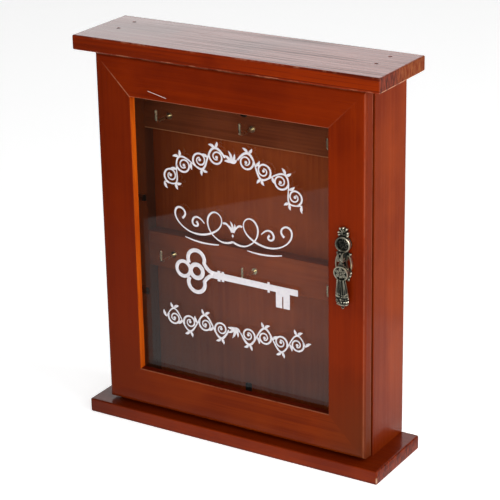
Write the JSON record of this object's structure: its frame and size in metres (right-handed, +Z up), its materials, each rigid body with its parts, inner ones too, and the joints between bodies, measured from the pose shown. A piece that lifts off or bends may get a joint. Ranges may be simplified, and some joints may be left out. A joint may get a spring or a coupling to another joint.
{
  "type": "key cabinet",
  "caption": "Wall-hung wooden key cabinet with a hinged glazed door, rows of brass key hooks on wooden rails and an ornate bronze drop pull.",
  "frame": {"origin": "middle of the underside of the bottom board, so the wall plane lies 33.5 mm behind it", "axes": "+X to the right of a person facing the door, +Y back towards the wall, +Z up"},
  "size_m": [0.25, 0.067, 0.3],
  "materials": {
    "stained_wood": "satin lacquer over a red-brown stain",
    "glass": "clear",
    "brass": "polished",
    "antique_bronze": "antiqued, dark in the recesses",
    "steel": "plain"
  },
  "bodies": {
    "cabinet": {"bottom_board": "stained_wood", "top_board": "stained_wood", "bottom_board_nails": "steel", "top_board_nails": "steel", "left_side": "stained_wood", "right_side": "stained_wood", "back_panel": "stained_wood", "back_panel_pins": "steel", "hanger_plates": "steel", "hanger_screws": "steel", "lower_hook_rail": "stained_wood", "upper_hook_rail": "stained_wood", "lower_key_hook_1": "brass", "lower_key_hook_2": "brass", "lower_key_hook_3": "brass", "upper_key_hook_1": "brass", "upper_key_hook_2": "brass", "upper_key_hook_3": "brass", "lower_hinge_side_leaf": "brass", "upper_hinge_side_leaf": "brass", "lower_hinge_pin": "steel", "upper_hinge_pin": "steel", "hinge_side_screws": "steel", "catch_magnet": "steel"},
    "door": {"door_bottom_rail": "stained_wood", "door_right_stile": "stained_wood", "door_top_rail": "stained_wood", "door_left_stile": "stained_wood", "glass_pane": "glass", "glazing_clips": "steel", "glazing_clip_screws": "steel", "lower_hinge_door_leaf": "brass", "upper_hinge_door_leaf": "brass", "hinge_door_screws": "steel", "catch_strike": "steel", "catch_strike_screw": "steel", "pull_backplate": "antique_bronze", "pull_fork": "antique_bronze", "pull_pivot_pin": "antique_bronze", "pull_washer": "steel", "pull_nut": "steel"},
    "pendant": {"pull_pendant": "antique_bronze"}
  },
  "joints": [
    {"name": "door_hinge", "type": "hinge", "parent": "cabinet", "child": "door", "pos_m": [-0.1128, -0.0145, 0.1501], "axis": [0, 0, -1], "range_deg": [0, 175]},
    {"name": "pendant_swing", "type": "hinge", "parent": "door", "child": "pendant", "pos_m": [0.09485, -0.0312, 0.167], "axis": [-1, 0, 0], "range_deg": [0, 95]}
  ]
}
